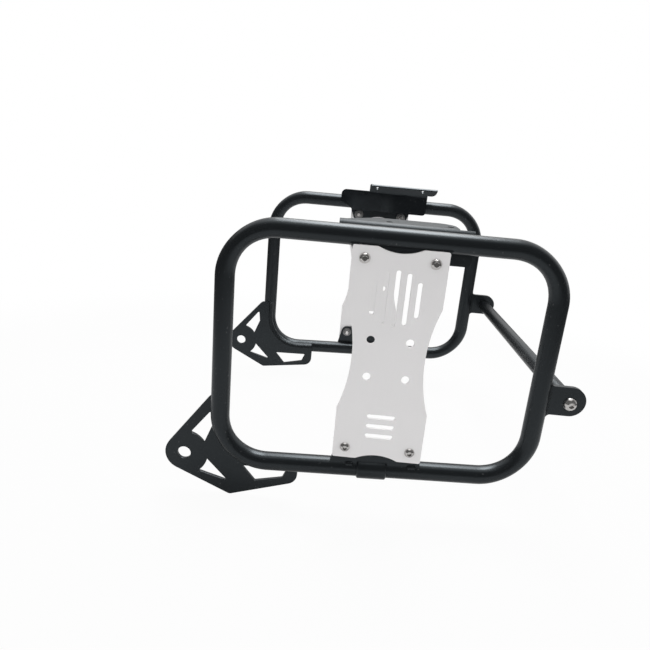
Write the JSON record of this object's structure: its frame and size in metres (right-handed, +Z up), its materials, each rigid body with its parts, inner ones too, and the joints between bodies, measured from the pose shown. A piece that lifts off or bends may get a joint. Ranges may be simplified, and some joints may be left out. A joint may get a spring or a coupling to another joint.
{
  "type": "motorbike pannier frame",
  "caption": "Joined pair of motorbike pannier frames: bent-tube loops with bolted accessory plates, front gussets, top brackets and a straight rear brace.",
  "frame": {"origin": "under the middle of the pair's box, level with the foot of the left front gusset", "axes": "+X to the rear of the motorbike, +Y to its right side, +Z up"},
  "size_m": [0.422, 0.3966, 0.3196],
  "materials": {
    "black_steel": "satin black powder coat",
    "plate_steel": "fine satin silver",
    "bright_steel": "polished"
  },
  "bodies": {
    "root": {"left_loop_tube": "black_steel", "right_loop_tube": "black_steel", "left_joint_sleeve": "black_steel", "right_joint_sleeve": "black_steel", "left_front_gusset": "black_steel", "right_front_gusset": "black_steel", "left_plate": "plate_steel", "right_plate": "plate_steel", "left_top_tab": "black_steel", "right_top_tab": "black_steel", "left_bottom_tab": "black_steel", "right_bottom_tab": "black_steel", "left_plate_screws": "bright_steel", "right_plate_screws": "bright_steel", "left_plate_nuts": "bright_steel", "right_plate_nuts": "bright_steel", "left_rear_tab": "black_steel", "right_rear_tab": "black_steel", "left_brace_plug": "bright_steel", "right_brace_plug": "bright_steel", "left_brace_screw": "bright_steel", "right_brace_screw": "bright_steel", "left_top_bracket": "black_steel", "right_top_bracket": "black_steel", "brace_tube": "black_steel"}
  },
  "joints": []
}
